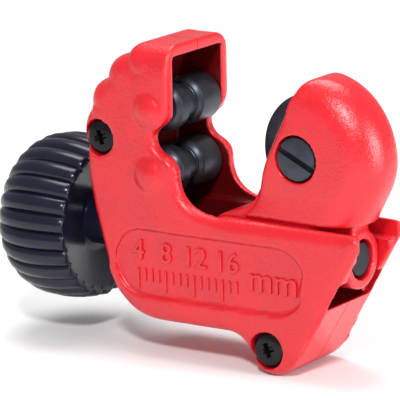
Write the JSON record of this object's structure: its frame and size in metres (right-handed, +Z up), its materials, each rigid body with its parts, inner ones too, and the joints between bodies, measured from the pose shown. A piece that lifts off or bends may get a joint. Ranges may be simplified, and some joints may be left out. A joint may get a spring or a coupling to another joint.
{
  "type": "tube cutter",
  "caption": "Compact tube cutter: a knob-driven lead screw draws a carriage with a cutting wheel towards guide rollers in a two-shell body.",
  "frame": {"origin": "bottom centre of the whole tool's box", "axes": "+X along the lead screw from the knob to the carriage, +Y through the thickness from the front shell to the rear shell, +Z up"},
  "size_m": [0.0676, 0.0258, 0.0483],
  "materials": {
    "red_paint": "satin paint with a fine orange-peel grain on a zinc casting",
    "knob_plastic": "glossy moulded plastic, dark navy black",
    "black_oxide_steel": "black oxide, turned",
    "black_screw": "glossy black",
    "plain_steel": "dull grey steel, turned"
  },
  "bodies": {
    "housing": {"front_shell": "red_paint", "rear_shell": "red_paint", "upper_body_screw": "black_screw", "lower_body_screw": "black_screw", "upper_roller_pin": "plain_steel", "lower_roller_pin": "plain_steel", "thrust_washer": "plain_steel", "spring_washer": "plain_steel"},
    "spindle": {"lead_screw": "plain_steel", "knob": "knob_plastic", "retaining_clip": "plain_steel"},
    "jaw": {"carriage": "red_paint", "wheel_axle_screw": "black_oxide_steel"},
    "wheel": {"cutter_wheel": "black_oxide_steel"},
    "roller_top": {"upper_roller": "black_oxide_steel"},
    "roller_bottom": {"lower_roller": "black_oxide_steel"}
  },
  "joints": [
    {"name": "knob_turn", "type": "hinge", "parent": "housing", "child": "spindle", "pos_m": [-0.00055, 0, 0.01802], "axis": [1, 0, 0], "range_deg": [-1153, 4753]},
    {"name": "carriage_slide", "type": "slide", "parent": "housing", "child": "jaw", "axis": [1, 0, 0], "range_m": [-0.0132, 0.0032]},
    {"name": "cutter_wheel_spin", "type": "hinge", "parent": "jaw", "child": "wheel", "pos_m": [0.02055, 0, 0.03322], "axis": [0, 1, 0], "continuous": true},
    {"name": "upper_roller_spin", "type": "hinge", "parent": "housing", "child": "roller_top", "pos_m": [-0.00395, 0, 0.03812], "axis": [0, 1, 0], "continuous": true},
    {"name": "lower_roller_spin", "type": "hinge", "parent": "housing", "child": "roller_bottom", "pos_m": [-0.00395, 0, 0.02832], "axis": [0, 1, 0], "continuous": true}
  ],
  "couplings": [
    {"joint": "knob_turn", "follows": "carriage_slide", "rad_per_m": -6283.2}
  ]
}
